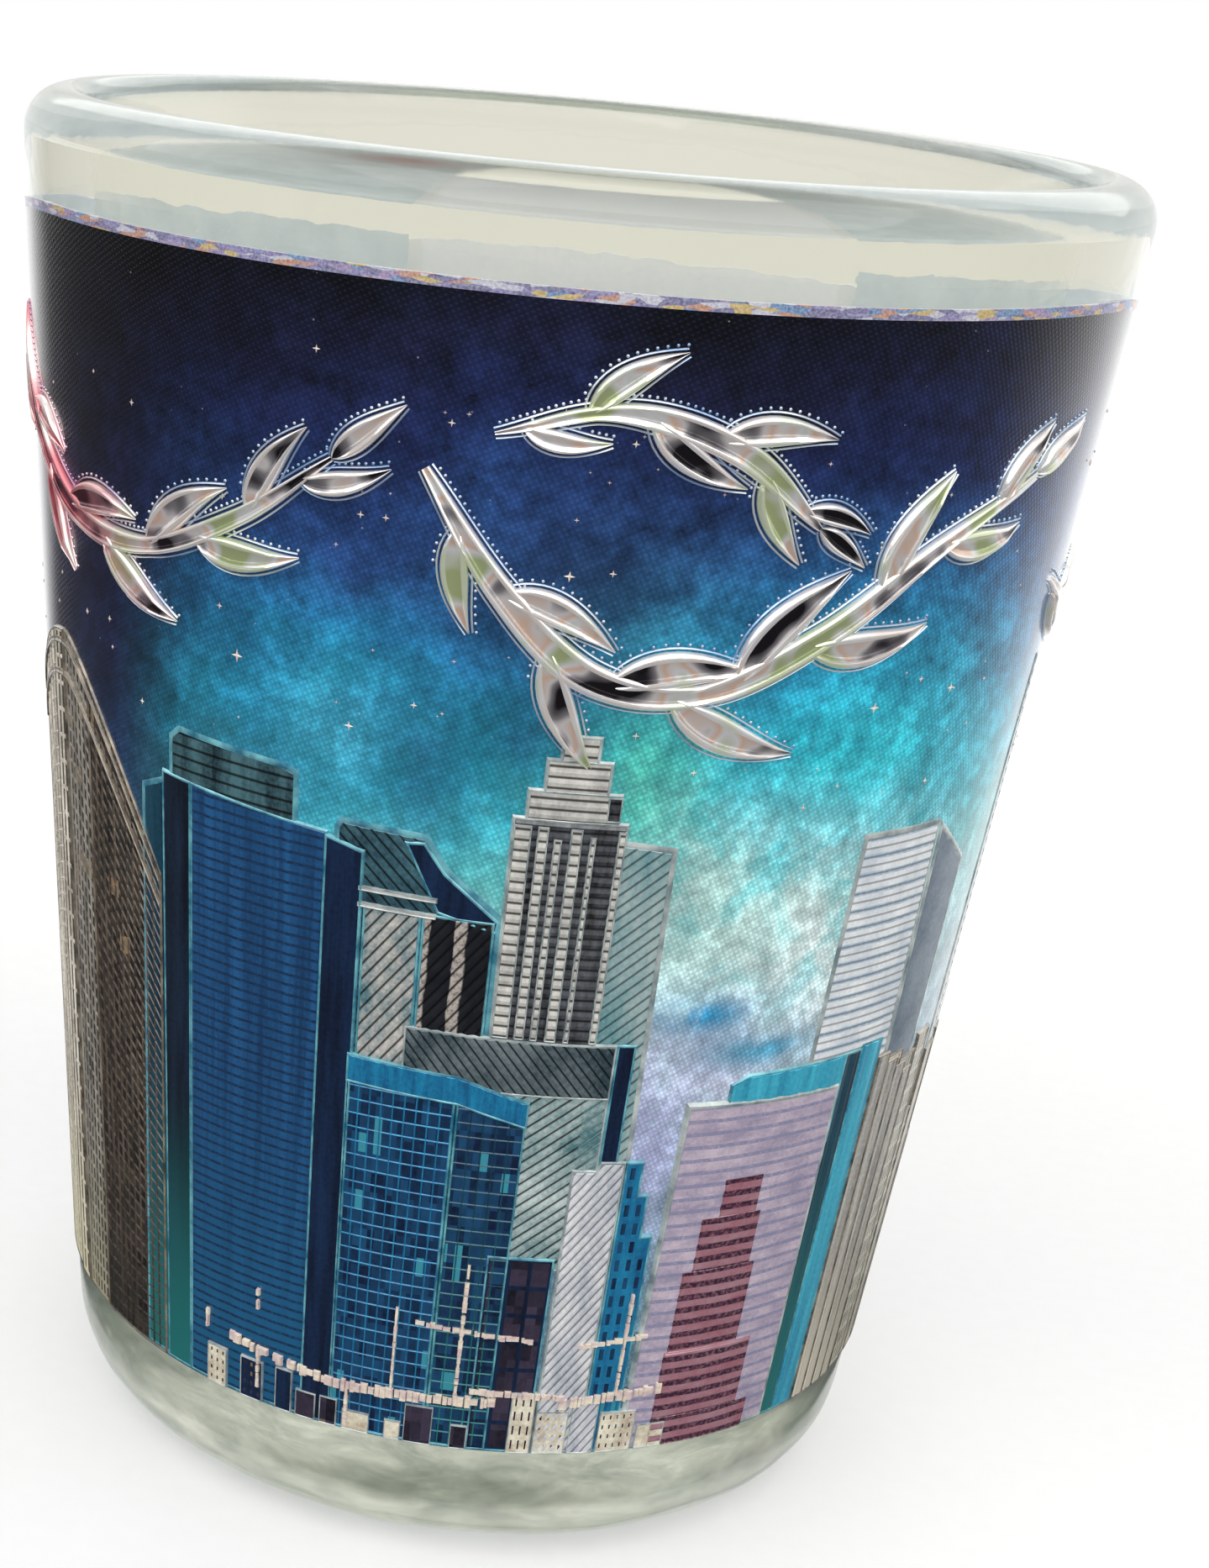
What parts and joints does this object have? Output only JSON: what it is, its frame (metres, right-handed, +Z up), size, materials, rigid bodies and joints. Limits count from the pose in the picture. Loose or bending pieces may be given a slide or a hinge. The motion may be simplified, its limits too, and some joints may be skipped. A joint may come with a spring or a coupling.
{
  "type": "shot glass",
  "caption": "Thick tapered glass tumbler with a heavy bottom, wrapped in an embossed foil picture label with a plain paper sticker at the back.",
  "frame": {"origin": "centre of the base, in the plane that the glass stands on", "axes": "+Z up through the mouth, -Y towards the middle of the label's picture, +X to its right"},
  "size_m": [0.0484, 0.0484, 0.06],
  "materials": {
    "clear_glass": "fire-polished clear pressed glass",
    "adhesive": "silvery grey seen through the glass",
    "foil": "bright embossed foil",
    "print_film": "high-gloss printed film with fine embossing",
    "sticker_paper": "plain matt coated paper"
  },
  "bodies": {
    "root": {"glass_tumbler": "clear_glass", "label_adhesive": "adhesive", "label_foil": "foil", "label_print_film": "print_film", "back_sticker": "sticker_paper"}
  },
  "joints": []
}
